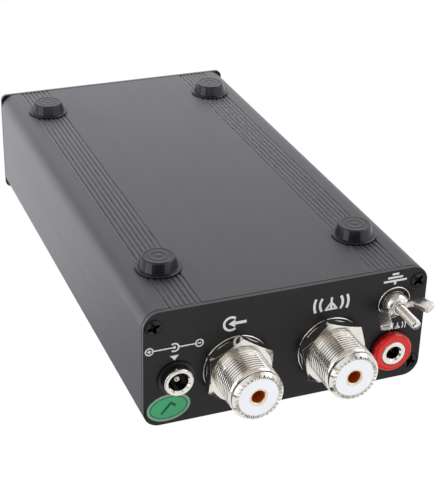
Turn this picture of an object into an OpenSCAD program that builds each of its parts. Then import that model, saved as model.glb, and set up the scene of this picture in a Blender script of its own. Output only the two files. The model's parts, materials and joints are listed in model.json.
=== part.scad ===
// Automatic antenna tuner in a split extruded case.
// It stands on its feet at z = 0, with the front panel towards -Y and the sockets towards +Y.
// The origin is under the middle of the whole object's box.

/* [Case] */
// Width of the sleeve
case_w = 88; // [86:1:110]
// Height of the sleeve, without the feet
case_h = 37.5; // [36:0.5:50]
// Length of the sleeve between the end panels
sleeve_l = 165; // [160:1:220]
// Radius of the sleeve's long outer edges
corner_r = 5; // [4:0.5:7]
// Wall thickness of the sleeve
wall_t = 2; // [1.6:0.1:2.4]
// Thickness of each end panel
panel_t = 1.5; // [1.2:0.1:2.5]
// How far the front panel stands past the sleeve all round
front_overhang = 0; // [0:0.1:1]
// Corner radius of the front panel
front_corner_r = 2.2; // [1:0.1:5]
// Depth and width of the relief line behind each panel's edge
joint_line = 0.3; // [0.1:0.1:0.5]
// Height of the tongue that locks the two halves of the sleeve
tongue_h = 1.5; // [1:0.1:2.5]

/* [Grooves] */
// Grooves in each decorative band
groove_count = 7; // [3:1:9]
// Distance from groove to groove
groove_pitch = 1.55; // [1.2:0.05:1.7]
// Width of a groove
groove_w = 0.8; // [0.4:0.05:0.9]
// Depth of a groove
groove_d = 0.45; // [0.2:0.05:0.8]

/* [Feet] */
// Height of a rubber foot
foot_h = 4; // [3:0.1:8]
// Radius of a foot at its flange
foot_flange_r = 6.9; // [6.5:0.1:7.5]
// Radius of a foot's body where it meets the flange
foot_body_r = 5.9; // [4.5:0.1:6.2]
// Distance of the feet from the sides of the sleeve
foot_inset = 12.6; // [11:0.1:16]
// Distance of the rear feet from the rear face
rear_foot_inset = 24; // [15:0.5:40]
// Distance of the front feet from the front face
front_foot_inset = 21.5; // [15:0.5:40]

/* [Panel screws] */
// Core radius of a panel screw
screw_r = 1.25; // [1:0.05:1.4]
// Radius of a countersunk head
screw_head_r = 2.75; // [2.3:0.05:2.9]
// Length of a screw under the panel
screw_l = 9; // [6:0.5:14]
// Distance of the screws from the sides of the sleeve
screw_inset_x = 3; // [3:0.1:3.6]
// Distance of the screws from the top and bottom of the sleeve
screw_inset_z = 4.75; // [4.2:0.05:5.5]

/* [Antenna sockets] */
// Place of the IN socket left of the middle, as a share of the width
in_share = 0.186; // [0.16:0.0002:0.19]
// Place of the ANT socket right of the middle, as a share of the width
ant_share = 0.1477; // [0.13:0.0001:0.155]
// Height of both sockets above the middle of the case
socket_z = 3; // [0:0.5:4]
// Outer radius of the socket thread
socket_thread_r = 7.94; // [7.5:0.01:8.3]
// Pitch of the socket thread
socket_pitch = 1.058; // [0.8:0.002:1.3]
// How far the sockets stand out of the rear panel
socket_reach = 17.7; // [15:0.1:22]
// Radius of the white dielectric
dielectric_r = 6; // [5.6:0.05:6.4]
// Bore radius of the centre contact
contact_bore_r = 2; // [1.8:0.05:2.2]
// Distance across the flats of the hex nuts
socket_nut_af = 19; // [18.5:0.1:20.5]
// Thickness of the hex nuts
socket_nut_t = 3.2; // [2.5:0.1:4]
// Radius of the flat washers under the nuts
socket_washer_r = 10.15; // [9.5:0.05:10.8]
// Turn of the hex nut on the IN socket, in degrees
in_nut_turn = 28; // [0:1:59]
// Turn of the hex nut on the ANT socket, in degrees
ant_nut_turn = 43; // [0:1:59]

/* [Power jack] */
// Place of the power jack left of the middle, as a share of the width
jack_share = 0.391; // [0.385:0.001:0.405]
// Height of the power jack above the middle of the case
jack_z = 3.4; // [0:0.1:5]
// Radius of the jack's flange
jack_flange_r = 5.45; // [5:0.05:5.8]
// Radius of the nickel ferrule
jack_ferrule_r = 4.4; // [4.2:0.05:4.7]
// Radius of the jack's opening
jack_hole_r = 2.83; // [2.6:0.01:3]
// Radius of the jack's centre pin
jack_pin_r = 1.05; // [0.9:0.05:1.3]
// How far the jack stands out of the panel
jack_reach = 3.3; // [2.8:0.1:6]

/* [Ground post] */
// Place of the ground post and the wire socket right of the middle, as a share of the width
post_share = 0.3784; // [0.37:0.0001:0.385]
// Height of the ground post above the middle of the case
post_z = -8.3; // [-8.5:0.1:-7.5]
// Radius of the ground stud
stud_r = 1.5; // [1.3:0.05:2]
// Pitch of the stud's thread
stud_pitch = 0.5; // [0.4:0.05:0.7]
// How far the stud stands out of the panel
stud_reach = 14.5; // [14:0.5:20]
// Radius of the washer under the wing nut
post_washer_r = 5.24; // [4.5:0.02:5.6]
// Span of the wing nut over its wings
wing_span = 17.6; // [16:0.2:18]
// Height of the wing nut
wing_h = 9.4; // [8.6:0.1:10]
// Turn of the wing nut at rest, in degrees
wing_turn = 15; // [0:1:179]

/* [Wire socket] */
// Height of the wire socket above the middle of the case
wire_z = 7.9; // [7.5:0.1:8.2]
// Radius of the red collar
collar_r = 6.35; // [5.8:0.05:6.6]
// How far the red collar stands out of the panel
collar_reach = 3.3; // [2.5:0.1:8]
// Radius of the nickel sleeve's face
sleeve_r = 3.9; // [3.6:0.05:4.4]
// Bore radius of the nickel sleeve
sleeve_bore_r = 2.05; // [1.95:0.05:2.2]

/* [Front panel] */
// Width of the display window
window_w = 28; // [24:0.5:30]
// Height of the display window
window_h = 14; // [10:0.5:18]
// Place of the display window left of the middle, as a share of the width
window_share = 0.2045; // [0.19:0.0005:0.22]
// Radius of a push button
button_r = 3.2; // [2.5:0.1:4]
// Distance from button to button
button_pitch = 13; // [11:0.5:14]
// Place of the middle button right of the middle, as a share of the width
button_share = 0.2386; // [0.23:0.0002:0.25]
// How far a button stands out of the panel
button_reach = 2.5; // [1.5:0.1:6]
// How far a button can be pressed
button_travel = 0.6; // [0.3:0.1:1]

/* [Boards] */
// Thickness of the boards
board_t = 1.6; // [1.2:0.1:2]
// Height of the main board's middle above the floor of the sleeve
board_lift = 6.75; // [6.2:0.05:7.5]
// Free length between the main board and the rear face
board_rear_gap = 19; // [19:0.5:30]
// Distance of the front board's face from the front face
front_board_depth = 9.5; // [9:0.1:12]
// Relays in each of the two rows
relay_count = 7; // [4:1:7]
// Outer radius of a large toroid core
toroid_r = 12; // [9:0.5:12.5]
// Large toroids on the board
toroid_count = 3; // [1:1:3]

/* [Hidden] */
$fn = 64;

// Clearances: sliding pieces, turning pieces, seated pieces, and the seam of the sleeve
button_clear = 0.2;
turn_clear = 0.05;
seat_clear = 0.05;
seam_clear = 0.1;
hole_clear = 0.15;
slot_clear = 0.1;
// Length added where one shape cuts or joins another
cut = 1;

// Main planes
case_l = sleeve_l + 2 * panel_t;
object_l = button_reach + case_l + socket_reach;
rear_y = object_l / 2 - socket_reach;
front_y = rear_y - case_l;
mid_z = foot_h + case_h / 2;
inner_x = case_w / 2 - wall_t;
floor_z = foot_h + wall_t;

// Colours
anodised = [0.13, 0.13, 0.14];
panel_black = [0.09, 0.09, 0.1];
steel_black = [0.12, 0.12, 0.13];
rubber_black = [0.05, 0.05, 0.055];
plastic_black = [0.07, 0.07, 0.075];
nickel = [0.8, 0.78, 0.74];
gilt = [0.8, 0.45, 0.12];
dielectric_white = [0.93, 0.93, 0.95];
collar_red = [0.82, 0.12, 0.1];
window_smoke = [0.1, 0.11, 0.13];
board_green = [0.08, 0.3, 0.16];
relay_blue = [0.12, 0.2, 0.45];
core_red = [0.55, 0.12, 0.1];
copper = [0.72, 0.4, 0.22];
ceramic_tan = [0.72, 0.55, 0.3];
lead_red = [0.6, 0.1, 0.1];

// Places across the panels
in_x = -in_share * case_w;
ant_x = ant_share * case_w;
jack_x = -jack_share * case_w;
post_x = post_share * case_w;
window_x = -window_share * case_w;
button_x = button_share * case_w;
foot_x = case_w / 2 - foot_inset;

// Puts a piece drawn along +Z on the rear panel, pointing out of it
module on_rear(x, z) {
    translate([x, rear_y, mid_z + z])
        rotate([-90, 0, 0])
            children();
}

// Puts a piece drawn along +Z on the front panel, pointing out of it
module on_front(x, z) {
    translate([x, front_y, mid_z + z])
        rotate([90, 0, 0])
            children();
}

// Round bar from height a to height b
module bar(r, a, b) {
    translate([0, 0, a])
        cylinder(r = r, h = b - a);
}

// Round tube from height a to height b
module tube(r_out, r_in, a, b) {
    difference() {
        bar(r_out, a, b);
        bar(r_in, a - cut, b + cut);
    }
}

// Round bar from height a to height b with its end rounded over
module rounded_bar(r, a, b, edge) {
    rotate_extrude() {
        translate([0, a])
            square([r, b - a - edge]);
        translate([0, a])
            square([r - edge, b - a]);
        translate([r - edge, b - edge])
            circle(edge);
    }
}

// Chamfer of a bore's mouth that opens at height top
module mouth(r, top, depth) {
    translate([0, 0, top - depth])
        cylinder(r1 = r, r2 = r + depth + cut, h = depth + cut);
}

// Hexagonal nut with a round bore
module hex_nut(af, bore_r, a, b) {
    difference() {
        translate([0, 0, a])
            cylinder(r = af / sqrt(3), h = b - a, $fn = 6);
        bar(bore_r, a - cut, b + cut);
    }
}

// Box with its middle at x, y, standing at height z
module block(x, y, z, size) {
    translate([x - size[0] / 2, y - size[1] / 2, z])
        cube(size);
}

// Rectangle with round corners
module rounded_rect(w, h, r) {
    square([w - 2 * r, h], center = true);
    square([w, h - 2 * r], center = true);
    for (sx = [-1, 1], sz = [-1, 1])
        translate([sx * (w / 2 - r), sz * (h / 2 - r)])
            circle(r);
}

// Ridges of a thread from height a to height b, as points of a turned outline
thread_flat = 0.25;
function ridge_count(a, b, pitch) = floor((b - a) / pitch);
function thread_points(r, depth, a, b, pitch) = [
    for (i = [0 : ridge_count(a, b, pitch) - 1], p = [0 : 3])
        [
            p == 0 || p == 3 ? r - depth : r,
            a + pitch * (i + [0, 0.5 - thread_flat / 2, 0.5 + thread_flat / 2, 0.98][p])
        ]
];

// Split sleeve: both halves are the same extrusion, one turned over
screw_x = case_w / 2 - screw_inset_x;
screw_z = case_h / 2 - screw_inset_z;
boss_wall = 1.6;
boss_slit = 1;
tongue_t = (wall_t - seam_clear) / 2;
rib_t = 1.2;
slot_depth = 1.8;
board_z = floor_z + board_lift - mid_z;
groove_band_x = foot_x;
groove_floor_share = 0.3;

module card_ribs() {
    slot_h = board_t + 2 * slot_clear;
    for (side = [-1, 1], edge = [-1, 1])
        translate([side * (inner_x - slot_depth / 2), board_z + edge * (slot_h + rib_t) / 2])
            square([slot_depth + seam_clear, rib_t], center = true);
}

module screw_bosses() {
    intersection() {
        rounded_rect(case_w, case_h, corner_r);
        for (side = [-1, 1])
            translate([side * screw_x, -screw_z])
                circle(screw_r + boss_wall);
    }
}

module sleeve_grooves() {
    first = -(groove_count - 1) / 2;
    floor_w = groove_floor_share * groove_w;
    for (side = [-1, 1], i = [0 : groove_count - 1])
        translate([side * groove_band_x + (first + i) * groove_pitch, -case_h / 2])
            polygon([
                [-groove_w / 2, -cut],
                [groove_w / 2, -cut],
                [groove_w / 2, 0],
                [floor_w / 2, groove_d],
                [-floor_w / 2, groove_d],
                [-groove_w / 2, 0],
            ]);
}

module half_profile() {
    difference() {
        union() {
            difference() {
                rounded_rect(case_w, case_h, corner_r);
                rounded_rect(case_w - 2 * wall_t, case_h - 2 * wall_t, corner_r - wall_t);
                translate([-case_w, 0])
                    square([2 * case_w, case_h]);
            }
            translate([-inner_x - tongue_t, -wall_t])
                square([tongue_t, wall_t + tongue_h]);
            screw_bosses();
            card_ribs();
        }
        translate([inner_x - cut, -tongue_h - seam_clear])
            square([cut + tongue_t + seam_clear, tongue_h + seam_clear + cut]);
        for (side = [-1, 1])
            translate([side * screw_x, -screw_z])
                circle(screw_r + seat_clear);
        for (side = [-1, 1])
            translate([side * (screw_x - screw_r - boss_wall), -screw_z])
                square([2 * boss_wall, boss_slit], center = true);
        sleeve_grooves();
    }
}

module sleeve_half() {
    translate([0, rear_y - panel_t, 0])
        rotate([90, 0, 0])
            linear_extrude(sleeve_l)
                half_profile();
}

// Feet: pushed through holes in the lower half
foot_stem_r = 1.9;
foot_edge_r = 0.5;
foot_edge_steps = 6;
foot_flange_t = 0.7;
foot_draft = 0.9;
barb_r = 2.7;
barb_tip_r = 1.6;
barb_h = 2.4;
rear_foot_y = rear_y - rear_foot_inset;
front_foot_y = front_y + front_foot_inset;

module foot_holes() {
    for (side = [-1, 1], y = [front_foot_y, rear_foot_y])
        translate([side * foot_x, y, 0])
            bar(foot_stem_r + hole_clear, -cut, floor_z + cut);
}

// Tapered foot: the edge of its flat end is an arc that runs into the sloping side
module foot(x, y) {
    top_r = foot_body_r - foot_draft;
    slope = atan(foot_draft / (foot_h - foot_flange_t));
    edge_x = top_r - foot_edge_r * (1 - sin(slope)) / cos(slope);
    edge_turns = [for (i = [0 : foot_edge_steps]) -90 + i * (90 - slope) / foot_edge_steps];
    color(rubber_black)
        translate([x, y, 0])
            rotate_extrude()
                polygon(concat(
                    [[0, 0]],
                    [for (t = edge_turns) [edge_x + foot_edge_r * cos(t), foot_edge_r * (1 + sin(t))]],
                    [
                        [foot_body_r, foot_h - foot_flange_t],
                        [foot_flange_r, foot_h - foot_flange_t],
                        [foot_flange_r, foot_h],
                        [foot_stem_r, foot_h],
                        [foot_stem_r, floor_z + slot_clear],
                        [barb_r, floor_z + slot_clear],
                        [barb_tip_r, floor_z + barb_h],
                        [0, floor_z + barb_h],
                    ]
                ));
}

module foot_front_left() foot(-foot_x, front_foot_y);
module foot_front_right() foot(foot_x, front_foot_y);
module foot_rear_left() foot(-foot_x, rear_foot_y);
module foot_rear_right() foot(foot_x, rear_foot_y);

module lower_shell() {
    color(anodised)
        difference() {
            translate([0, 0, mid_z])
                sleeve_half();
            foot_holes();
        }
}

module upper_shell() {
    color(anodised)
        translate([0, 0, mid_z])
            rotate([0, 180, 0])
                sleeve_half();
}

// End panels and their screws
head_floor = 0.2;
head_h = min(screw_head_r - screw_r, panel_t - head_floor);

module at_screws() {
    for (sx = [-1, 1], sz = [-1, 1])
        translate([sx * screw_x, sz * screw_z, 0])
            children();
}

// Panel drawn with its outer face at height 0 and its body below
module panel_plate(overhang, radius) {
    step = panel_t - joint_line;
    difference() {
        union() {
            translate([0, 0, -step])
                linear_extrude(step)
                    rounded_rect(case_w + 2 * overhang, case_h + 2 * overhang, radius);
            translate([0, 0, -panel_t])
                linear_extrude(joint_line)
                    rounded_rect(case_w - 2 * joint_line, case_h - 2 * joint_line, corner_r - joint_line);
        }
        at_screws()
            screw_shape(hole_clear, panel_t + cut);
    }
}

// Countersunk screw, or its hole when grown by a clearance
module screw_shape(grow, length) {
    translate([0, 0, -head_h])
        cylinder(r1 = screw_r + grow, r2 = screw_head_r + grow, h = head_h);
    bar(screw_r + grow, -length, -head_h);
    if (grow > 0)
        bar(screw_head_r + grow, 0, cut);
}

module panel_screws() {
    arm_l = screw_head_r * 1.15;
    arm_w = screw_head_r * 0.3;
    at_screws()
        difference() {
            screw_shape(0, panel_t + screw_l);
            for (turn = [0, 90])
                rotate(turn + 20)
                    cube([arm_l, arm_w, head_h * 1.6], center = true);
        }
}

module rear_panel_screws() {
    color(steel_black)
        on_rear(0, 0)
            panel_screws();
}

module front_panel_screws() {
    color(steel_black)
        on_front(0, 0)
            panel_screws();
}

module rear_panel() {
    color(panel_black)
        difference() {
            on_rear(0, 0)
                panel_plate(0, corner_r);
            for (x = [in_x, ant_x])
                on_rear(x, socket_z)
                    bar(socket_thread_r + hole_clear, -panel_t - cut, cut);
            on_rear(jack_x, jack_z)
                bar(jack_shank_r + hole_clear, -panel_t - cut, cut);
            on_rear(post_x, post_z)
                bar(stud_r + hole_clear, -panel_t - cut, cut);
            on_rear(post_x, wire_z)
                bar(collar_spigot_r + hole_clear, -panel_t - cut, cut);
        }
}

module front_panel() {
    color(panel_black)
        on_front(0, 0)
            difference() {
                panel_plate(front_overhang, front_corner_r);
                translate([window_x, 0, -panel_t - cut])
                    linear_extrude(panel_t + 2 * cut)
                        rounded_rect(window_w, window_h, window_corner);
                for (x = button_places)
                    translate([x, 0, 0])
                        bar(button_r + button_clear, -panel_t - cut, cut);
            }
}

// Antenna sockets
thread_depth = 0.5;
washer_t = 1;
lock_washer_t = 0.8;
nut_base = washer_t + lock_washer_t;
nut_end = nut_base + socket_nut_t;
thread_gap = 0.2;
lip_l = 1.5;
lip_gap = 0.4;
rim_chamfer = 1;
rim_drop = 0.9;
flange_margin = 0.3;
flange_r = socket_washer_r + flange_margin;
flange_t = 2.5;
neck_r = 5;
neck_l = 4;
notch_count = 32;
notch_w = 0.9;
dielectric_step_r = 3.9;
face_recess = 0.3;
contact_wall = 0.6;
contact_mouth = 0.3;
contact_floor = 3;
tail_r = 1.5;
tail_l = 4;
shell_back = -panel_t - flange_t;

module socket_shell(x) {
    base_r = socket_thread_r - thread_depth / 2;
    thread_start = nut_end + thread_gap;
    thread_end = socket_reach - lip_l - lip_gap;
    lip_r = socket_thread_r - thread_depth / 2;
    inner_r = dielectric_r + seat_clear;
    color(nickel)
        on_rear(x, socket_z)
            difference() {
                rotate_extrude()
                    polygon(concat(
                        [
                            [dielectric_step_r + seat_clear, shell_back - neck_l],
                            [neck_r, shell_back - neck_l],
                            [neck_r, shell_back],
                            [flange_r, shell_back],
                            [flange_r, -panel_t],
                            [base_r, -panel_t],
                            [base_r, nut_end],
                        ],
                        thread_points(
                            socket_thread_r, thread_depth, thread_start, thread_end, socket_pitch
                        ),
                        [
                            [socket_thread_r - thread_depth, socket_reach - lip_l],
                            [lip_r, socket_reach - lip_l],
                            [lip_r, socket_reach - rim_chamfer],
                            [lip_r - rim_drop, socket_reach],
                            [inner_r, socket_reach],
                            [inner_r, -panel_t],
                            [dielectric_step_r + seat_clear, -panel_t],
                        ]
                    ));
                for (i = [0 : notch_count - 1])
                    rotate(i * 360 / notch_count)
                        translate([inner_r - seat_clear, 0, socket_reach - notch_w / 2])
                            rotate([45, 0, 0])
                                cube([socket_thread_r, notch_w, notch_w]);
            }
}

module socket_dielectric(x) {
    front = socket_reach - face_recess;
    contact_r = contact_bore_r + contact_wall + seat_clear;
    color(dielectric_white)
        on_rear(x, socket_z)
            difference() {
                union() {
                    bar(dielectric_r, -panel_t + seat_clear, front);
                    bar(dielectric_step_r, shell_back - neck_l, 0);
                }
                bar(contact_r, shell_back - neck_l + contact_floor, front + cut);
                bar(tail_r + seat_clear, shell_back - neck_l - cut, 0);
            }
}

module socket_contact(x) {
    front = socket_reach - face_recess;
    back = shell_back - neck_l + contact_floor;
    color(gilt)
        on_rear(x, socket_z)
            difference() {
                union() {
                    bar(contact_bore_r + contact_wall, back + seat_clear, front);
                    bar(tail_r, shell_back - neck_l - tail_l, 0);
                }
                bar(contact_bore_r, back + contact_floor, front + cut);
                mouth(contact_bore_r, front, contact_mouth);
            }
}

module socket_washer(x) {
    color(nickel)
        on_rear(x, socket_z)
            tube(socket_washer_r, socket_thread_r + hole_clear, 0, washer_t);
}

module socket_lock_washer(x) {
    gap = 1;
    color(nickel)
        on_rear(x, socket_z)
            difference() {
                tube(socket_nut_af / 2, socket_thread_r + hole_clear, washer_t, nut_base);
                translate([0, -gap / 2, washer_t - cut])
                    cube([socket_nut_af, gap, lock_washer_t + 2 * cut]);
            }
}

module socket_nut(x, turn) {
    edge = 0.8;
    flat_r = socket_nut_af / 2;
    bore_r = socket_thread_r - thread_depth / 2 + turn_clear;
    color(nickel)
        on_rear(x, socket_z)
            intersection() {
                rotate(turn)
                    hex_nut(socket_nut_af, bore_r, nut_base, nut_end);
                union() {
                    bar(socket_nut_af, nut_base - cut, nut_end - edge);
                    translate([0, 0, nut_end - edge])
                        cylinder(r1 = flat_r + 2 * edge, r2 = flat_r - edge / 4, h = edge);
                }
            }
}

module in_shell() socket_shell(in_x);
module in_dielectric() socket_dielectric(in_x);
module in_contact() socket_contact(in_x);
module in_washer() socket_washer(in_x);
module in_lock_washer() socket_lock_washer(in_x);
module in_nut() socket_nut(in_x, in_nut_turn);
module ant_shell() socket_shell(ant_x);
module ant_dielectric() socket_dielectric(ant_x);
module ant_contact() socket_contact(ant_x);
module ant_washer() socket_washer(ant_x);
module ant_lock_washer() socket_lock_washer(ant_x);
module ant_nut() socket_nut(ant_x, ant_nut_turn);

// Power jack
jack_flange_t = 0.9;
jack_ferrule_l = 1.1;
jack_shoulder = 0.55;
jack_shank_r = jack_ferrule_r - jack_shoulder;
jack_neck_step = 0.15;
jack_neck_r = jack_ferrule_r - jack_neck_step;
jack_lining = 0.45;
jack_rim_r = 0.4;
jack_mouth = 0.5;
jack_depth = 6;
jack_back = -13;
jack_nut_t = 2.5;
jack_nut_land = 1.5;
jack_nut_af = 2 * (jack_shank_r + jack_nut_land);
jack_pin_drop = 1.7;
jack_tail_l = 3;
jack_tab_w = 1.6;
jack_tab_t = 0.5;
jack_tab_l = 5;

module jack_body() {
    color(plastic_black)
        on_rear(jack_x, jack_z)
            difference() {
                union() {
                    bar(jack_flange_r, 0, jack_flange_t);
                    bar(jack_neck_r, 0, jack_reach - jack_ferrule_l);
                    bar(jack_shank_r, jack_back, jack_flange_t);
                }
                bar(jack_hole_r + jack_lining + seat_clear, -jack_depth, jack_reach);
                bar(jack_pin_r + seat_clear, jack_back - cut, 0);
            }
}

module jack_ferrule() {
    color(nickel)
        on_rear(jack_x, jack_z)
            difference() {
                union() {
                    rounded_bar(jack_ferrule_r, jack_reach - jack_ferrule_l, jack_reach, jack_rim_r);
                    bar(jack_hole_r + jack_lining, -jack_depth, jack_reach - jack_rim_r);
                }
                bar(jack_hole_r, -jack_depth - cut, jack_reach + cut);
                mouth(jack_hole_r, jack_reach, jack_mouth);
            }
}

module jack_pin() {
    top = jack_reach - jack_pin_drop - jack_pin_r;
    color(nickel)
        on_rear(jack_x, jack_z) {
            bar(jack_pin_r, jack_back - jack_tail_l, top);
            translate([0, 0, top])
                sphere(jack_pin_r);
        }
}

module jack_nut() {
    color(nickel)
        on_rear(jack_x, jack_z)
            rotate(30)
                hex_nut(jack_nut_af, jack_shank_r + turn_clear, -panel_t - jack_nut_t, -panel_t);
}

module jack_tab() {
    color(nickel)
        on_rear(jack_x, jack_z)
            block(
                0, jack_shank_r - jack_tab_t, jack_back - jack_tab_l,
                [jack_tab_w, jack_tab_t, jack_tab_l]
            );
}

// Ground post: the washer and the wing nut travel along the stud
stud_depth = 0.2;
stud_head_r = 2 * stud_r;
stud_head_t = 1.2;
post_washer_t = 0.8;
hub_wall = 2.3;
hub_r = stud_r + hub_wall;
hub_h = 3.8;
hub_taper = 1.2;
wing_t = 1.9;
wing_tip_r = 1.1;
wing_top_l = 1.5;
wing_top_drop = 0.9;
wing_lean = 1.6;
wing_foot_h = 3.4;
wing_root_r = 0.9;
wing_root_h = 1.9;

module ground_stud() {
    color(nickel)
        on_rear(post_x, post_z)
            rotate_extrude()
                polygon(concat(
                    [
                        [0, -panel_t - stud_head_t],
                        [stud_head_r, -panel_t - stud_head_t],
                        [stud_head_r, -panel_t],
                        [stud_r, -panel_t],
                        [stud_r, 0],
                    ],
                    thread_points(stud_r, stud_depth, 0, stud_reach - stud_pitch, stud_pitch),
                    [
                        [stud_r - stud_depth, stud_reach - stud_pitch / 2],
                        [stud_r - 2 * stud_depth, stud_reach],
                        [0, stud_reach],
                    ]
                ));
}

module ground_washer() {
    color(nickel)
        on_rear(post_x, post_z)
            tube(post_washer_r, stud_r + hole_clear, 0, post_washer_t);
}

// Broad wing that leans outwards, with its upper edge falling towards the tip
module wing() {
    tip_x = wing_span / 2 - wing_tip_r;
    translate([0, wing_t / 2, 0])
        rotate([90, 0, 0])
            linear_extrude(wing_t)
                hull() {
                    translate([hub_r - wing_root_r, wing_root_h])
                        circle(wing_root_r, $fn = 32);
                    translate([tip_x - wing_lean, wing_foot_h])
                        circle(wing_tip_r, $fn = 32);
                    translate([tip_x, wing_h - wing_top_drop - wing_tip_r])
                        circle(wing_tip_r, $fn = 32);
                    translate([tip_x - wing_top_l, wing_h - wing_tip_r])
                        circle(wing_tip_r, $fn = 32);
                }
}

module wing_nut() {
    color(nickel)
        on_rear(post_x, post_z)
            translate([0, 0, post_washer_t])
                rotate(wing_turn)
                    difference() {
                        union() {
                            cylinder(r1 = hub_r, r2 = hub_r - hub_taper, h = hub_h);
                            wing();
                            rotate(180)
                                wing();
                        }
                        bar(stud_r + turn_clear, -cut, wing_h + cut);
                    }
}

// Wire socket
collar_edge_r = 1.3;
collar_wall = 0.8;
collar_spigot_r = sleeve_r + collar_wall;
sleeve_proud = 0.1;
sleeve_rim_r = 0.3;
sleeve_mouth = 0.5;
sleeve_seat = 1;
sleeve_wall = 0.9;
sleeve_shank_r = sleeve_bore_r + sleeve_wall;
sleeve_depth = 12;
sleeve_back = -15;
insulator_t = 2;
wire_nut_t = 2.5;
wire_nut_land = 2;
wire_nut_af = 2 * (sleeve_shank_r + wire_nut_land);

module wire_collar() {
    color(collar_red)
        on_rear(post_x, wire_z)
            difference() {
                union() {
                    rounded_bar(collar_r, collar_edge_r, collar_reach, collar_edge_r);
                    mirror([0, 0, 1])
                        rounded_bar(collar_r, -collar_edge_r - cut, 0, collar_edge_r);
                    bar(collar_spigot_r, -panel_t, collar_edge_r);
                }
                bar(sleeve_r + seat_clear, -sleeve_seat, collar_reach + cut);
                bar(sleeve_shank_r + seat_clear, -panel_t - cut, 0);
            }
}

module wire_sleeve() {
    color(nickel)
        on_rear(post_x, wire_z)
            difference() {
                union() {
                    rounded_bar(sleeve_r, -sleeve_seat, collar_reach + sleeve_proud, sleeve_rim_r);
                    bar(sleeve_shank_r, sleeve_back, 0);
                }
                bar(sleeve_bore_r, collar_reach - sleeve_depth, collar_reach + cut);
                mouth(sleeve_bore_r, collar_reach + sleeve_proud, sleeve_mouth);
            }
}

module wire_insulator() {
    color(collar_red)
        on_rear(post_x, wire_z)
            tube(collar_r, sleeve_shank_r + seat_clear, -panel_t - insulator_t, -panel_t);
}

module wire_nut() {
    base = -panel_t - insulator_t;
    color(nickel)
        on_rear(post_x, wire_z)
            hex_nut(wire_nut_af, sleeve_shank_r + turn_clear, base - wire_nut_t, base);
}

// Display window, its module and the push buttons
window_corner = 1;
window_flange = 2;
window_flange_t = 1;
display_gap = 0.2;
glass_t = 1.4;
glass_w = window_w;
glass_h = window_h + window_corner;
display_board_w = window_w + 2 * window_flange;
display_board_h = window_h + 2 * window_flange;
display_header_w = 10;
display_header_t = 2;
display_board_t = 1.2;
display_back = panel_t + window_flange_t + display_gap + glass_t + display_board_t;
button_places = [for (i = [-1 : 1]) button_x + i * button_pitch];
button_collar_r = button_r + 1;
button_collar_t = 1;
button_edge = 0.4;
plunger_r = 1.75;
switch_size = 6;
switch_floor = 1.8;
plunger_entry = 1;
switch_h = switch_floor + button_travel + plunger_entry;

module display_window() {
    pane_w = window_w - 2 * seat_clear;
    pane_h = window_h - 2 * seat_clear;
    color(window_smoke)
        on_front(window_x, 0) {
            translate([0, 0, -panel_t])
                linear_extrude(panel_t)
                    rounded_rect(pane_w, pane_h, window_corner - seat_clear);
            translate([0, 0, -panel_t - window_flange_t])
                linear_extrude(window_flange_t)
                    square([window_w + 2 * window_flange, window_h + 2 * window_flange], center = true);
        }
}

module display_module() {
    glass_z = -display_back + display_board_t;
    color(window_smoke)
        on_front(window_x, 0) {
            block(0, 0, glass_z, [glass_w, glass_h, glass_t]);
            block(0, 0, -display_back, [display_board_w, display_board_h, display_board_t]);
            translate([0, display_board_h / 2 - display_header_t, -front_board_depth])
                block(0, 0, 0, [display_header_w, display_header_t, front_board_depth - display_back]);
        }
}

module front_board() {
    bottom = board_z + board_t / 2;
    top = case_h / 2 - wall_t - screw_inset_z;
    width = 2 * (screw_x - screw_r - 2 * boss_wall);
    color(board_green)
        on_front(0, 0)
            translate([-width / 2, bottom, -front_board_depth - board_t])
                cube([width, top - bottom, board_t]);
}

module key_switches() {
    color(plastic_black)
        for (x = button_places)
            on_front(x, 0)
                difference() {
                    block(0, 0, -front_board_depth, [switch_size, switch_size, switch_h]);
                    bar(plunger_r + button_clear / 2, -front_board_depth + switch_floor - slot_clear, 0);
                }
}

module push_button(i) {
    collar_top = -panel_t - slot_clear;
    plunger_end = -front_board_depth + switch_h - plunger_entry;
    color(plastic_black)
        on_front(button_places[i], 0) {
            bar(button_r, collar_top - button_collar_t, button_reach - button_edge);
            translate([0, 0, button_reach - button_edge])
                cylinder(r1 = button_r, r2 = button_r - button_edge, h = button_edge);
            bar(button_collar_r, collar_top - button_collar_t, collar_top);
            bar(plunger_r, plunger_end, collar_top);
        }
}

module tune_button() push_button(0);
module bypass_button() push_button(1);
module auto_button() push_button(2);

// Main board and what it carries
board_side_clear = 0.2;
board_front_gap = display_back + 1;
board_top = mid_z + board_z + board_t / 2;
board_y0 = front_y + board_front_gap;
board_y1 = rear_y - board_rear_gap;
board_l = board_y1 - board_y0;
header_w = 40;
header_t = 2.5;
header_h = 6;
relay_w = 15.5;
relay_l = 10.5;
relay_h = 11.8;
toroid_hole_r = toroid_r / 2;
toroid_h = 10;
winding_t = 1;
capacitor_w = 2.5;
capacitor_l = 5;
capacitor_h = 5.5;
chip_w = 35;
chip_l = 7.6;
chip_h = 4;
regulator_w = 10;
regulator_l = 4.5;
regulator_h = 15;
can_r = 4;
can_h = 11;
coupler_r = 6;
coupler_hole_r = 3;
coupler_h = 6;

// Columns across the board with equal gaps: relays, relays, capacitors, toroids
columns_x = inner_x - slot_depth;
column_gap = (2 * columns_x - 2 * relay_w - capacitor_w - 2 * (toroid_r + winding_t)) / 5;
relay_x1 = -columns_x + column_gap + relay_w / 2;
relay_x2 = relay_x1 + relay_w + column_gap;
capacitor_x = relay_x2 + (relay_w + capacitor_w) / 2 + column_gap;
toroid_x = columns_x - column_gap - toroid_r - winding_t;

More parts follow.
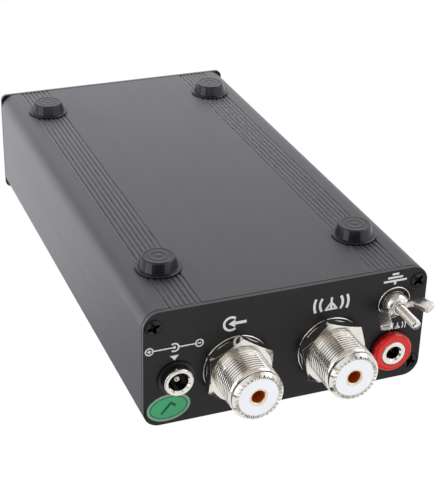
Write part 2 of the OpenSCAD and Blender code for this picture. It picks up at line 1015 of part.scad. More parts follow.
// Zones along the board: couplers at the rear, relays between, chips in front
rear_zone = 27.5;
front_zone = 24;
relay_pitch = (board_l - rear_zone - front_zone) / relay_count;
relay_first_y = board_y1 - rear_zone - relay_pitch / 2;
toroid_gap = 3;
toroid_pitch = 2 * (toroid_r + winding_t) + toroid_gap;
toroid_first_y = board_y1 - rear_zone - toroid_gap - can_r;
coupler_y = board_y1 - rear_zone + 1.4 * coupler_r;
chip_x = -columns_x + column_gap + chip_w / 2;
chip_y = board_y0 + front_zone - 2.7 * can_r;
regulator_x = columns_x - column_gap - regulator_w / 2;
can_places = [
    [regulator_x - regulator_w, chip_y],
    [relay_x2 + relay_w, coupler_y],
];

module main_board() {
    width = 2 * (inner_x - board_side_clear);
    color(board_green)
        translate([-width / 2, board_y0, board_top - board_t])
            cube([width, board_y1 - board_y0, board_t]);
}

module board_header() {
    y = front_y + front_board_depth + board_t + header_t / 2;
    color(plastic_black)
        block(0, y, board_top, [header_w, header_t, header_h]);
}

module relays() {
    color(relay_blue)
        for (x = [relay_x1, relay_x2], i = [0 : relay_count - 1])
            block(x, relay_first_y - i * relay_pitch, board_top, [relay_w, relay_l, relay_h]);
}

module at_toroids() {
    for (i = [0 : toroid_count - 1])
        translate([toroid_x, toroid_first_y - i * toroid_pitch, board_top])
            children();
}

module toroid_cores() {
    color(core_red)
        at_toroids()
            tube(toroid_r, toroid_hole_r, winding_t, winding_t + toroid_h);
}

module toroid_windings() {
    wound_angle = 320;
    width = toroid_r - toroid_hole_r;
    color(copper)
        at_toroids()
            rotate_extrude(angle = wound_angle)
                difference() {
                    translate([toroid_hole_r - winding_t, 0])
                        square([width + 2 * winding_t, toroid_h + 2 * winding_t]);
                    translate([toroid_hole_r - seat_clear, winding_t - seat_clear])
                        square([width + 2 * seat_clear, toroid_h + 2 * seat_clear]);
                }
}

module coupler_transformers() {
    color(core_red)
        for (x = [relay_x1, relay_x2])
            translate([x, coupler_y, board_top])
                tube(coupler_r, coupler_hole_r, 0, coupler_h);
}

module tuning_capacitors() {
    color(ceramic_tan)
        for (i = [0 : relay_count - 1])
            block(
                capacitor_x, relay_first_y - i * relay_pitch, board_top,
                [capacitor_w, capacitor_l, capacitor_h]
            );
}

module microcontroller() {
    color(plastic_black)
        block(chip_x, chip_y, board_top, [chip_w, chip_l, chip_h]);
}

module voltage_regulator() {
    color(plastic_black)
        block(regulator_x, chip_y, board_top, [regulator_w, regulator_l, regulator_h]);
}

module electrolytic_capacitors() {
    color(plastic_black)
        for (p = can_places)
            translate([p[0], p[1], board_top])
                cylinder(r = can_r, h = can_h);
}

// Leads from the rear panel's pieces down to the main board
lead_r = 0.6;
lead_bead_r = 0.75;
lead_run = 2;
pad_inset = 5;
pad_step = 2;
pad_y = board_y1 - pad_inset;

module lead_piece(a, b) {
    d = b - a;
    translate(a)
        rotate([0, acos(d[2] / norm(d)), atan2(d[1], d[0])])
            cylinder(r = lead_r, h = norm(d));
}

module lead(points) {
    for (i = [0 : len(points) - 2])
        lead_piece(points[i], points[i + 1]);
    for (i = [1 : len(points) - 2])
        translate(points[i])
            sphere(lead_bead_r);
}

// Route from a tail on the rear panel to a pad: out, across above the board, and down
lead_rise = 3;

module tail_to_pad(x, z, tail, pad_x) {
    start = [x, rear_y + tail, mid_z + z];
    over_z = max(start[2], board_top + lead_rise);
    lead([
        start,
        [x, start[1] - lead_run, start[2]],
        [pad_x, pad_y, over_z],
        [pad_x, pad_y, board_top],
    ]);
}

module rf_leads() {
    tail = shell_back - neck_l - tail_l;
    color(copper)
        for (x = [in_x, ant_x])
            tail_to_pad(x, socket_z, tail, x);
}

module power_leads() {
    tab_z = jack_z - jack_shank_r + jack_tab_t;
    color(lead_red) {
        tail_to_pad(jack_x, jack_z, jack_back - jack_tail_l, jack_x - pad_step);
        tail_to_pad(jack_x, tab_z, jack_back - jack_tab_l, jack_x + pad_step);
    }
}

module ground_lead() {
    color(plastic_black)
        tail_to_pad(post_x, post_z, -panel_t - stud_head_t, post_x);
}

module wire_lead() {
    color(lead_red)
        tail_to_pad(post_x, wire_z, sleeve_back, post_x - 3 * pad_step);
}

lower_shell();
upper_shell();
rear_panel();
front_panel();
rear_panel_screws();
front_panel_screws();
foot_front_left();
foot_front_right();
foot_rear_left();
foot_rear_right();
in_shell();
in_dielectric();
in_contact();
in_washer();
in_lock_washer();
in_nut();
ant_shell();
ant_dielectric();
ant_contact();
ant_washer();
ant_lock_washer();
ant_nut();
jack_body();
jack_ferrule();
jack_pin();
jack_nut();
jack_tab();
ground_stud();
ground_washer();
wing_nut();
wire_collar();
wire_sleeve();
wire_insulator();
wire_nut();
display_window();
display_module();
front_board();
board_header();
key_switches();
tune_button();
bypass_button();
auto_button();
main_board();
relays();
toroid_cores();
toroid_windings();
coupler_transformers();
tuning_capacitors();
microcontroller();
voltage_regulator();
electrolytic_capacitors();
rf_leads();
power_leads();
ground_lead();
wire_lead();
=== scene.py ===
import json
from math import atan2, cos, pi, radians, sin

import bmesh
import bpy
from mathutils import Matrix, Vector


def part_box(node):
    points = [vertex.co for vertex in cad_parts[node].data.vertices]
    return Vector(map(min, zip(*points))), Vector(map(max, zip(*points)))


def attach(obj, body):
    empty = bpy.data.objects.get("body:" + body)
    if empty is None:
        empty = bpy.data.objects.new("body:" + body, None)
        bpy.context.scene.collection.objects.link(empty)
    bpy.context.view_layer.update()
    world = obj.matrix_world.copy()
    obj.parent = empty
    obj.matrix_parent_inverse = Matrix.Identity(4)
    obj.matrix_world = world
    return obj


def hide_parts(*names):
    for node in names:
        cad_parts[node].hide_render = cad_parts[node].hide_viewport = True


# An automatic antenna tuner that stands on its feet, seen by the camera from behind and below
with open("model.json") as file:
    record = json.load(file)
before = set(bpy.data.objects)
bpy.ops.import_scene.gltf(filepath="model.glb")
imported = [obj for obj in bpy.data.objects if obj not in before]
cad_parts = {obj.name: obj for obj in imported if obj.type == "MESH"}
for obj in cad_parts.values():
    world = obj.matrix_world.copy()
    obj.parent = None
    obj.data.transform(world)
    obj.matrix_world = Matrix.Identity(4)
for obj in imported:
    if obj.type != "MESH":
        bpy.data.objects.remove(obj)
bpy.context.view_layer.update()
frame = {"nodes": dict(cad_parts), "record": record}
scene = bpy.context.scene
scene.view_settings.view_transform = "Standard"

MM = 0.001


def centre(node):
    """Middle of a node's box, in millimetres."""
    low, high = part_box(node)
    return (low + high) / 2 / MM


# Main places, in millimetres, taken from the frame
REAR_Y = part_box("rear_panel")[1].y / MM
PANEL_T = round(REAR_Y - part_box("rear_panel")[0].y / MM, 3)
FRONT_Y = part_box("front_panel")[0].y / MM
MID_Z = centre("rear_panel").z
IN = centre("in_shell")
ANT = centre("ant_shell")
JACK = centre("jack_ferrule")
POST = centre("ground_stud")
WIRE = centre("wire_sleeve")
UNDER_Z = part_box("lower_shell")[0].z / MM


def reach(node):
    """How far a node stands out of the rear panel, in millimetres to three places."""
    return round(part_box(node)[1].y / MM - REAR_Y, 3)


# Camera at the photograph's place, in millimetres; the focal length is in pixels of its 435 x 495 frame
FOCAL_PX = 1336.122
FRAME_H_PX = 495
SENSOR = 36.0
CAMERA_RIGHT = Vector((0.93174, 0.36237, -0.02361))
CAMERA_DOWN = Vector((-0.15232, 0.44901, 0.88045))
CAMERA_AHEAD = Vector((0.32965, -0.81675, 0.47356))
CAMERA_PLACE = Vector((-141.684, 294.605 + REAR_Y, -206.814 + MID_Z))


def make_camera():
    """Camera at the photograph's place, without shift or depth of field."""
    data = bpy.data.cameras.new("camera")
    data.sensor_width = SENSOR
    data.lens = SENSOR * FOCAL_PX / FRAME_H_PX
    data.clip_start = 0.01
    data.clip_end = 20.0
    camera = bpy.data.objects.new("camera", data)
    scene.collection.objects.link(camera)
    turn = Matrix((CAMERA_RIGHT, -CAMERA_DOWN, -CAMERA_AHEAD)).transposed().to_4x4()
    camera.matrix_world = Matrix.Translation(CAMERA_PLACE * MM) @ turn
    scene.camera = camera


make_camera()


# Middle part of a noise value over which tones and roughness run
NOISE_SPAN = (0.3, 0.7)
# Rays that look for an edge to soften
EDGE_RAYS = 6


class Mat:
    """A node material under construction, in object coordinates (metres)."""

    def __init__(self, name, **inputs):
        self.mat = bpy.data.materials.new(name)
        self.mat.use_nodes = True
        self.tree = self.mat.node_tree
        self.bsdf = self.tree.nodes["Principled BSDF"]
        self.coord = self.tree.nodes.new("ShaderNodeTexCoord").outputs["Object"]
        self.fill(self.bsdf, inputs)

    def fill(self, node, inputs):
        """Set a node's inputs by name."""
        for key, value in inputs.items():
            node.inputs[key.replace("_", " ")].default_value = value

    def new(self, kind, **inputs):
        """A new node with some of its inputs set."""
        node = self.tree.nodes.new(kind)
        self.fill(node, inputs)
        return node

    def link(self, a, b):
        """Join an output to an input."""
        self.tree.links.new(a, b)

    def stretched(self, x, y, z):
        """Coordinates scaled by axis, for streaks."""
        node = self.new("ShaderNodeMapping", Scale=(x, y, z))
        self.link(self.coord, node.inputs["Vector"])
        return node.outputs["Vector"]

    def noise(self, scale, detail=4.0, vector=None):
        """Noise value, over the object or over other coordinates."""
        node = self.new("ShaderNodeTexNoise", Scale=scale, Detail=detail)
        self.link(vector or self.coord, node.inputs["Vector"])
        return node.outputs["Fac"]

    def tone(self, value, dark, light):
        """Base colour running from dark to light over the middle of a noise value."""
        node = self.new("ShaderNodeValToRGB")
        low, high = node.color_ramp.elements
        low.position, high.position = NOISE_SPAN
        low.color = (*dark, 1.0)
        high.color = (*light, 1.0)
        self.link(value, node.inputs["Fac"])
        self.link(node.outputs["Color"], self.bsdf.inputs["Base Color"])

    def blend(self, factor, colour):
        """Lay a second colour over the base colour by a factor."""
        socket = self.bsdf.inputs["Base Color"]
        node = self.new("ShaderNodeMixRGB", Color2=(*colour, 1.0))
        self.link(factor, node.inputs["Fac"])
        self.link(socket.links[0].from_socket, node.inputs["Color1"])
        self.link(node.outputs["Color"], socket)

    def axis(self, vector, name):
        """One axis of a vector, without its sign."""
        split = self.new("ShaderNodeSeparateXYZ")
        self.link(vector, split.inputs["Vector"])
        node = self.new("ShaderNodeMath")
        node.operation = "ABSOLUTE"
        self.link(split.outputs[name], node.inputs[0])
        return node.outputs["Value"]

    def about(self, x, y, z):
        """Coordinates about another point, given in millimetres."""
        node = self.new("ShaderNodeMapping", Location=(-x * MM, -y * MM, -z * MM))
        self.link(self.coord, node.inputs["Vector"])
        return node.outputs["Vector"]

    def between(self, value, low, high):
        """0 at the low value and 1 at the high one."""
        node = self.new("ShaderNodeMapRange", From_Min=low, From_Max=high)
        self.link(value, node.inputs["Value"])
        return node.outputs["Result"]

    def sunk(self, value, face, depths):
        """0 at the first of two depths under a face and 1 at the second, in millimetres."""
        start, full = depths
        return self.between(value, (face - start) * MM, (face - full) * MM)

    def times(self, a, b):
        """Product of two values."""
        node = self.new("ShaderNodeMath")
        node.operation = "MULTIPLY"
        self.link(a, node.inputs[0])
        self.link(b, node.inputs[1])
        return node.outputs["Value"]

    def rough(self, value, low, high):
        """Roughness running from low to high over the middle of a noise value."""
        start, end = NOISE_SPAN
        node = self.new("ShaderNodeMapRange", From_Min=start, From_Max=end, To_Min=low, To_Max=high)
        self.link(value, node.inputs["Value"])
        self.link(node.outputs["Result"], self.bsdf.inputs["Roughness"])

    def relief(self, value, strength, depth, edge):
        """Fine bumps, over edges that are softened by a small radius; both are in millimetres."""
        soft = self.tree.nodes.new("ShaderNodeBevel")
        soft.samples = EDGE_RAYS
        soft.inputs["Radius"].default_value = edge * MM
        node = self.new("ShaderNodeBump", Strength=strength, Distance=depth * MM)
        self.link(value, node.inputs["Height"])
        self.link(soft.outputs["Normal"], node.inputs["Normal"])
        self.link(node.outputs["Normal"], self.bsdf.inputs["Normal"])


def shades(colour, spread):
    """A darker and a lighter shade of one colour."""
    return [[c * (1 + s) for c in colour] for s in (-spread, spread)]


# Depths under a face at which a second colour starts and is full, in millimetres: painted light in the
# grooves and at the contact's mouth, painted shade in the screw recesses
GROOVE_PAINTED_LIGHT = (0.05, 0.35)
RECESS_PAINTED_SHADE = (0.0, 0.2)
MOUTH_PAINTED_LIGHT = (0.77, 0.33)
# Distances from the sleeve's middle plane between which the painted light in the grooves sets in, in
# millimetres
GROOVE_LIGHT_HALF = (37.6, 37.4)
# Share of a panel's normal along Y at which the painted highlight on its edges starts and is full
EDGE_HIGHLIGHT_TURN = (0.9, 0.3)


def anodised():
    """Dark grey extrusion: a fine blasted grain, faint streaks along its length and grooves made paler by
    painted light.
    """
    m = Mat("anodised_grey", Metallic=0.1, IOR=1.3)
    grain = m.noise(2600.0, detail=2.0)
    streak = m.noise(420.0, detail=3.0, vector=m.stretched(1.0, 0.02, 1.0))
    m.tone(streak, *shades((0.086, 0.0845, 0.094), 0.03))
    # Painted light: the grooves are made paler, filling the shade that lies in them
    place = m.about(0, 0, MID_Z)
    sunk = m.sunk(m.axis(place, "Z"), MID_Z - UNDER_Z, GROOVE_PAINTED_LIGHT)
    outer, inner = GROOVE_LIGHT_HALF
    groove_light = m.between(m.axis(place, "X"), outer * MM, inner * MM)
    m.blend(m.times(sunk, groove_light), (0.22, 0.217, 0.24))
    m.rough(grain, 0.36, 0.44)
    m.relief(grain, strength=0.06, depth=0.03, edge=0.3)
    return m.mat


def panel_black():
    """Black anodised sheet with a satin grain and a painted highlight that makes its edge faces paler."""
    m = Mat("panel_black", Metallic=0.0, IOR=1.28)
    grain = m.noise(2200.0, detail=3.0)
    m.tone(m.noise(30.0), *shades((0.018, 0.018, 0.0185), 0.10))
    # Painted highlight: faces that turn away from the panel's plane are made paler
    side = m.new("ShaderNodeNewGeometry")
    edge = m.between(m.axis(side.outputs["Normal"], "Y"), *EDGE_HIGHLIGHT_TURN)
    m.blend(edge, (0.085, 0.084, 0.088))
    m.rough(grain, 0.40, 0.52)
    m.relief(grain, strength=0.14, depth=0.03, edge=0.12)
    return m.mat


def screw_black():
    """Black oxide steel, brighter on the face and dull black down in the recess, where shade is painted.
    """
    m = Mat("screw_black", Metallic=0.75)
    wear = m.noise(900.0)
    m.tone(wear, *shades((0.030, 0.030, 0.032), 0.30))
    # Painted shade: the colour darkens with depth under the panel's face, down in the recess
    height = m.axis(m.about(0, (REAR_Y + FRONT_Y) / 2, 0), "Y")
    m.blend(m.sunk(height, (REAR_Y - FRONT_Y) / 2, RECESS_PAINTED_SHADE), (0.002, 0.002, 0.002))
    m.rough(wear, 0.24, 0.38)
    m.relief(wear, strength=0.08, depth=0.03, edge=0.12)
    return m.mat


def rubber():
    """Smooth moulded rubber, shiny where it was pressed against the mould."""
    m = Mat("rubber_black", IOR=1.55, Specular_Tint=(0.86, 0.88, 1.0, 1.0))
    grain = m.noise(700.0, detail=3.0)
    m.tone(m.noise(150.0), *shades((0.009, 0.009, 0.0095), 0.2))
    m.rough(grain, 0.16, 0.22)
    m.relief(grain, strength=0.10, depth=0.03, edge=0.2)
    return m.mat


def metal(name, colour, low, high, metallic=1.0):
    """Plated metal: slight clouding of the plate and fine scatter in its shine."""
    m = Mat(name, Metallic=metallic)
    cloud = m.noise(260.0)
    grain = m.noise(1100.0)
    m.tone(cloud, *shades(colour, 0.05))
    m.rough(grain, low, high)
    m.relief(grain, strength=0.05, depth=0.02, edge=0.08)
    return m.mat


def plastic(name, colour, spread, low, high, grain_scale=1500.0, depth=0.02):
    """Moulded plastic with a fine surface texture."""
    m = Mat(name, IOR=1.48)
    grain = m.noise(grain_scale)
    m.tone(m.noise(90.0), *shades(colour, spread))
    m.rough(grain, low, high)
    m.relief(grain, strength=0.15, depth=depth, edge=0.15)
    return m.mat


def gilt():
    """Gilt spring contact, with painted light that makes it bright at its mouth, deep orange down the
    bore.
    """
    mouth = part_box("in_contact")[1].y / MM
    m = Mat("gilt", Metallic=0.6)
    m.tone(m.noise(400.0), *shades((0.86, 0.27, 0.02), 0.06))
    # Painted light: a pale colour at the contact's mouth, fading out down the bore
    m.blend(m.sunk(m.axis(m.coord, "Y"), mouth, MOUTH_PAINTED_LIGHT), (0.97, 0.82, 0.60))
    grain = m.noise(1100.0)
    m.rough(grain, 0.28, 0.40)
    m.relief(grain, strength=0.05, depth=0.02, edge=0.08)
    return m.mat


# A metal has a name, a colour and a range of roughness, and a plastic a spread of shades before the range
NICKEL = metal("nickel", (0.78, 0.755, 0.71), 0.08, 0.15)
CAST_NICKEL = metal("cast_nickel", (0.75, 0.73, 0.70), 0.18, 0.28, metallic=0.92)
INK = plastic("print_white", (0.66, 0.66, 0.68), 0.10, 0.45, 0.60, grain_scale=2500.0)
STICKER_FACE = plastic("sticker_green", (0.034, 0.300, 0.125), 0.10, 0.30, 0.42, grain_scale=2500.0)
STICKER_RIM = plastic("sticker_rim", (0.160, 0.300, 0.210), 0.10, 0.30, 0.42, grain_scale=2500.0)
STICKER_PRINT = plastic("sticker_print", (0.012, 0.060, 0.032), 0.10, 0.35, 0.50, grain_scale=2500.0)
SLOT_MATERIALS = {
    "anodised": anodised(),
    "panel_black": panel_black(),
    "screw_black": screw_black(),
    "rubber_black": rubber(),
    "nickel": NICKEL,
    "gilt": gilt(),
    "ptfe_white": plastic("ptfe_white", (0.88, 0.89, 0.93), 0.02, 0.30, 0.40),
    "plastic_black": plastic("plastic_black", (0.008, 0.008, 0.0085), 0.15, 0.24, 0.34),
    "plastic_red": plastic("plastic_red", (0.66, 0.012, 0.008), 0.06, 0.10, 0.18, grain_scale=900.0),
    "window_smoke": plastic(
        "window_smoke", (0.012, 0.014, 0.018), 0.20, 0.05, 0.09, grain_scale=300.0, depth=0.005
    ),
    "board_green": plastic("board_green", (0.03, 0.15, 0.06), 0.15, 0.35, 0.50),
    "relay_blue": plastic("relay_blue", (0.03, 0.08, 0.28), 0.10, 0.25, 0.35),
    "core_iron": plastic("core_red", (0.33, 0.05, 0.035), 0.15, 0.45, 0.60),
    "copper": metal("copper", (0.75, 0.36, 0.17), 0.25, 0.35),
    "capacitor_tan": plastic("capacitor_tan", (0.50, 0.33, 0.13), 0.15, 0.40, 0.55),
    "lead_red": plastic("lead_red", (0.40, 0.03, 0.03), 0.10, 0.40, 0.50),
}

# Every node shows the material of its slot
for part in frame["record"]["subparts"]:
    materials = frame["nodes"][part["node"]].data.materials
    materials.clear()
    materials.append(SLOT_MATERIALS[part["material_slot"]])


def rear_spot(place, u, v, height):
    """A point over the rear panel read from behind: u to the right of a place, v up, height outwards."""
    return Vector((place.x - u, REAR_Y + height, place.z + v)) * MM


def front_spot(place, u, v, height):
    """The same over the front panel, as read from the front."""
    return Vector((place.x + u, FRONT_Y - height, place.z + v)) * MM


def under_spot(place, u, v, height):
    """The same over the underside, with u to the right and v to the rear."""
    return Vector((place.x + u, place.y + v, UNDER_Z - height)) * MM


def finish_piece(name, bm, material, body="case", crease=35):
    """Turn a bmesh into a piece that rides on a body, smooth up to a crease angle in degrees."""
    bmesh.ops.recalc_face_normals(bm, faces=bm.faces)
    for face in bm.faces:
        face.smooth = True
    for edge in bm.edges:
        edge.smooth = len(edge.link_faces) == 2 and edge.calc_face_angle() < radians(crease)
    mesh = bpy.data.meshes.new(name)
    bm.to_mesh(mesh)
    bm.free()
    mesh.materials.append(material)
    piece = bpy.data.objects.new(name, mesh)
    scene.collection.objects.link(piece)
    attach(piece, body)
    return piece


def skin(bm, low, high):
    """Faces between two rings of equally many points."""
    for i in range(len(low)):
        j = (i + 1) % len(low)
        bm.faces.new((low[i], low[j], high[j], high[i]))


def turned(u, v, angle):
    """A flat point turned about the origin."""
    return u * cos(angle) - v * sin(angle), u * sin(angle) + v * cos(angle)


def quarter(steps):
    """Angles over a quarter of a turn, both ends included."""
    return [radians(90 * i / steps) for i in range(steps + 1)]


# Steps round a plain turned piece
ROUND_STEPS = 96


def lathe(place, rows, steps, closed, spot=rear_spot):
    """A turned body standing on a surface; each row gives (radius, height) at an angle.

    A closed one joins its last row to its first; any other is capped at both ends.
    """
    bm = bmesh.new()
    angles = [2 * pi * i / steps for i in range(steps)]
    rings = []
    for row in rows:
        spots = []
        for angle in angles:
            radius, height = row(angle)
            spots.append(bm.verts.new(spot(place, radius * cos(angle), radius * sin(angle), height)))
        rings.append(spots)
    pairs = list(zip(rings, rings[1:]))
    if closed:
        pairs.append((rings[-1], rings[0]))
    else:
        bm.faces.new(rings[0])
        bm.faces.new(rings[-1])
    for low, high in pairs:
        skin(bm, low, high)
    return bm


def plain_row(radius, height):
    """A row of one radius and height all round."""
    return lambda angle: (radius, height)


# Share of a thread's pitch that is flat crest
CREST_SHARE = 0.4


def thread_rows(radius, depth, pitch, start, end, per_turn):
    """Rows of a right-hand thread with flat crests and straight flanks, fading out over its last turn."""

    def row(height):
        def at(angle):
            phase = (height - start) / pitch - angle / (2 * pi)
            off = 2 * abs(phase - round(phase))
            ridge = min(1.0, (1 - off) / (1 - CREST_SHARE))
            fade = min(1.0, max(0.0, (end - height) / pitch))
            return radius - depth + depth * ridge * fade, height

        return at

    count = round((end - start) / pitch * per_turn)
    return [row(start + (end - start) * i / count) for i in range(count + 1)]


# Sizes of the socket shells, in millimetres, and the steps they are drawn in
SHELL_R = 7.94
SHELL_DEPTH = 0.41
SHELL_ROWS_PER_TURN = 10
SHELL_PITCH = 1.058
SHELL_REACH = reach("in_shell")
SHELL_NUT_END = reach("in_nut")
SHELL_INNER_R = 6.05
SHELL_BACK_R = 3.95
SHELL_FLANGE_R = 10.45
SHELL_FLANGE_T = 2.5
SHELL_NECK_R = 5.0
SHELL_NECK_L = 4.0
LIP_R = 7.69
LIP_L = 1.5
LIP_GAP = 0.4
LIP_CHAMFER = 1.0
LIP_DROP = 0.9
NOTCH_COUNT = 32
NOTCH_DEPTH = 0.45
NOTCH_STEPS = 8


def socket_shell(name, node, place):
    """Threaded shell with a helical thread and a rim cut into small teeth."""
    back = -PANEL_T - SHELL_FLANGE_T

    def rim_height(angle):
        part = angle * NOTCH_COUNT / (2 * pi)
        off = abs(part - round(part)) * 2 * pi / NOTCH_COUNT * LIP_R
        return SHELL_REACH - max(0.0, NOTCH_DEPTH - off)

    def outer_rim(angle):
        height = rim_height(angle)
        return LIP_R - LIP_DROP * (1 - (SHELL_REACH - height) / LIP_CHAMFER), height

    def inner_rim(angle):
        return SHELL_INNER_R, rim_height(angle)

    rows = [
        plain_row(SHELL_BACK_R, back - SHELL_NECK_L),
        plain_row(SHELL_NECK_R, back - SHELL_NECK_L),
        plain_row(SHELL_NECK_R, back),
        plain_row(SHELL_FLANGE_R, back),
        plain_row(SHELL_FLANGE_R, -PANEL_T),
        plain_row(LIP_R, -PANEL_T),
        plain_row(LIP_R, SHELL_NUT_END - SHELL_PITCH),
    ]
    start = SHELL_NUT_END - SHELL_PITCH / 2
    end = SHELL_REACH - LIP_L - LIP_GAP
    rows += thread_rows(SHELL_R, SHELL_DEPTH, SHELL_PITCH, start, end, SHELL_ROWS_PER_TURN)
    rows += [
        plain_row(SHELL_R - SHELL_DEPTH, SHELL_REACH - LIP_L),
        plain_row(LIP_R, SHELL_REACH - LIP_L),
        plain_row(LIP_R, SHELL_REACH - LIP_CHAMFER),
        outer_rim,
        inner_rim,
        plain_row(SHELL_INNER_R, -PANEL_T),
        plain_row(SHELL_BACK_R, -PANEL_T),
    ]
    bm = lathe(place, rows, NOTCH_STEPS * NOTCH_COUNT, True)
    piece = finish_piece(name, bm, NICKEL)
    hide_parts(node)


socket_shell("in_socket_shell", "in_shell", IN)
socket_shell("ant_socket_shell", "ant_shell", ANT)


# Sizes of the feet, in millimetres, and the steps of their edge
FOOT_H = UNDER_Z
FOOT_FLANGE_R = 6.9
FOOT_FLANGE_T = 0.7
FOOT_FLANGE_EDGE = FOOT_FLANGE_T / 3
FOOT_BODY_R = 5.9
FOOT_TOP_R = 5.0
FOOT_EDGE_R = 0.5
FOOT_EDGE_STEPS = 8
FOOT_DISH = 0.08
FOOT_STEM_R = 1.9
FOOT_BARB_R = 2.7
FOOT_BARB_TIP_R = 1.6
FOOT_BARB_H = 2.4
SLEEVE_WALL_T = 2.0
# Mould rings on the flat end as (radius, share of the dish's depth)
FOOT_RINGS = [
    (4.2, 0),
    (3.9, 1),
    (2.9, 1),
    (2.75, 0.3),
    (2.45, 0.3),
    (2.3, 1),
    (0.9, 1),
    (0.7, 0.3),
    (0.2, 0.3),
]


def foot(node):
    """Push-in rubber foot: thin flange, tapered body with a soft edge, faint mould rings on its end."""
    place = centre(node)
    rows = [
        plain_row(FOOT_BARB_TIP_R, -SLEEVE_WALL_T - FOOT_BARB_H),
        plain_row(FOOT_BARB_R, -SLEEVE_WALL_T),
        plain_row(FOOT_STEM_R, -SLEEVE_WALL_T),
        plain_row(FOOT_STEM_R, 0.0),
        plain_row(FOOT_FLANGE_R, 0.0),
        plain_row(FOOT_FLANGE_R, FOOT_FLANGE_T - FOOT_FLANGE_EDGE),
        plain_row(FOOT_FLANGE_R - FOOT_FLANGE_EDGE, FOOT_FLANGE_T),
        plain_row(FOOT_BODY_R, FOOT_FLANGE_T),
    ]
    slope = atan2(FOOT_BODY_R - FOOT_TOP_R, FOOT_H - FOOT_FLANGE_T)
    edge_r = FOOT_TOP_R - FOOT_EDGE_R * (1 - sin(slope)) / cos(slope)
    for i in range(FOOT_EDGE_STEPS + 1):
        angle = slope + (pi / 2 - slope) * i / FOOT_EDGE_STEPS
        rows.append(plain_row(edge_r + FOOT_EDGE_R * cos(angle), FOOT_H - FOOT_EDGE_R * (1 - sin(angle))))
    rows += [plain_row(radius, FOOT_H - FOOT_DISH * share) for radius, share in FOOT_RINGS]
    bm = lathe(place, rows, ROUND_STEPS, False, under_spot)
    name = node.replace("foot", "foot_pad")
    piece = finish_piece(name, bm, SLOT_MATERIALS["rubber_black"])
    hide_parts(node)


for corner in ("front_left", "front_right", "rear_left", "rear_right"):
    foot("foot_" + corner)


# Sizes of the flat washers, in millimetres, the steps of their edge and their crease angle in degrees
WASHER_EDGE_R = 0.2
WASHER_EDGE_STEPS = 6
WASHER_RIM_W = 0.1
WASHER_GROOVE_DEPTH = 0.3
WASHER_SHADE_RING_T = 0.2
WASHER_CREASE = 18


def washer(name, node, place, bore_r, seat_r, body="case"):
    """Washer with a rolled bright edge and a black ring laid in the groove round the piece that sits on
    it, as painted shade.
    """
    low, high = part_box(node)
    outer_r = (high.x - low.x) / 2 / MM
    base = low.y / MM - REAR_Y
    top = high.y / MM - REAR_Y
    edge_r = outer_r - WASHER_EDGE_R
    rim_r = edge_r - WASHER_RIM_W
    floor = top - WASHER_GROOVE_DEPTH
    shade_ring_top = floor + WASHER_SHADE_RING_T
    rows = [plain_row(bore_r, base), plain_row(outer_r, base)]
    for angle in quarter(WASHER_EDGE_STEPS):
        spot_r = edge_r + WASHER_EDGE_R * cos(angle)
        rows.append(plain_row(spot_r, top - WASHER_EDGE_R + WASHER_EDGE_R * sin(angle)))
    rows += [plain_row(rim_r, top), plain_row(rim_r, floor)]
    rows += [plain_row(seat_r, floor), plain_row(seat_r, top), plain_row(bore_r, top)]
    plate = lathe(place, rows, ROUND_STEPS, True)
    piece = finish_piece(name + "_washer_plate", plate, NICKEL, body, WASHER_CREASE)
    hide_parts(node)
    # Painted shade: a black ring laid in the groove, where the shade round the seated piece falls
    rows = [plain_row(seat_r, floor), plain_row(rim_r, floor)]
    rows += [plain_row(rim_r, shade_ring_top), plain_row(seat_r, shade_ring_top)]
    ring = lathe(place, rows, ROUND_STEPS, True)
    black = SLOT_MATERIALS["screw_black"]
    finish_piece(name + "_washer_shade_ring", ring, black, body, WASHER_CREASE)


# Sizes of the ground post, in millimetres, and the steps it is drawn in
STUD_R = 1.5
STUD_DEPTH = 0.12
STUD_PITCH = 0.5
STUD_ROWS_PER_TURN = 8
STUD_STEPS = 48
STUD_DOME_STEPS = 6
STUD_REACH = reach("ground_stud")
STUD_HEAD_R = 3.0
STUD_HEAD_T = 1.2
POST_WASHER_T = reach("ground_washer")
HUB_R = 3.8
HUB_NECK_R = 2.3
HUB_SKIRT_H = 0.5
HUB_DOME_H = 2.5
HUB_DOME_STEPS = 9
HUB_H = 3.8
HUB_BORE_R = 1.62
HUB_STEPS = 64
WING_T = 1.7
WING_CROWN = 0.15
# Share of the outline that a wing's crowned faces keep, and the turn of the wings
WING_CROWN_SHARE = 0.4
WING_TURN = radians(15)
# Voxel size in millimetres, strength and passes of the smoothing that melt hub and wings together
MELT_VOXEL = 0.14
MELT_EASE = 0.5
MELT_PASSES = 8
# Outline of one wing as (distance from the axis, height over the washer, corner radius)
WING_OUTLINE = [
    (2.2, 0.9, 0.1),
    (4.3, 1.0, 1.0),
    (7.0, 2.4, 1.6),
    (9.0, 8.3, 1.0),
    (5.6, 9.7, 0.9),
    (3.6, 3.8, 1.2),
    (2.2, 3.5, 0.1),
]


def ground_stud():
    """Stud with a rolled thread and a domed end."""
    thread_end = STUD_REACH - STUD_PITCH
    core = STUD_R - STUD_DEPTH
    rows = [
        plain_row(STUD_HEAD_R, -PANEL_T - STUD_HEAD_T),
        plain_row(STUD_HEAD_R, -PANEL_T),
        plain_row(STUD_R, -PANEL_T),
        plain_row(STUD_R, -STUD_PITCH),
    ]
    rows += thread_rows(STUD_R, STUD_DEPTH, STUD_PITCH, 0.0, thread_end, STUD_ROWS_PER_TURN)
    dome = quarter(STUD_DOME_STEPS)[1:-1]
    rows += [plain_row(core * cos(a), thread_end + STUD_PITCH * sin(a)) for a in dome]
    bm = lathe(POST, rows, STUD_STEPS, False)
    piece = finish_piece("ground_post_stud", bm, NICKEL)
    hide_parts("ground_stud")


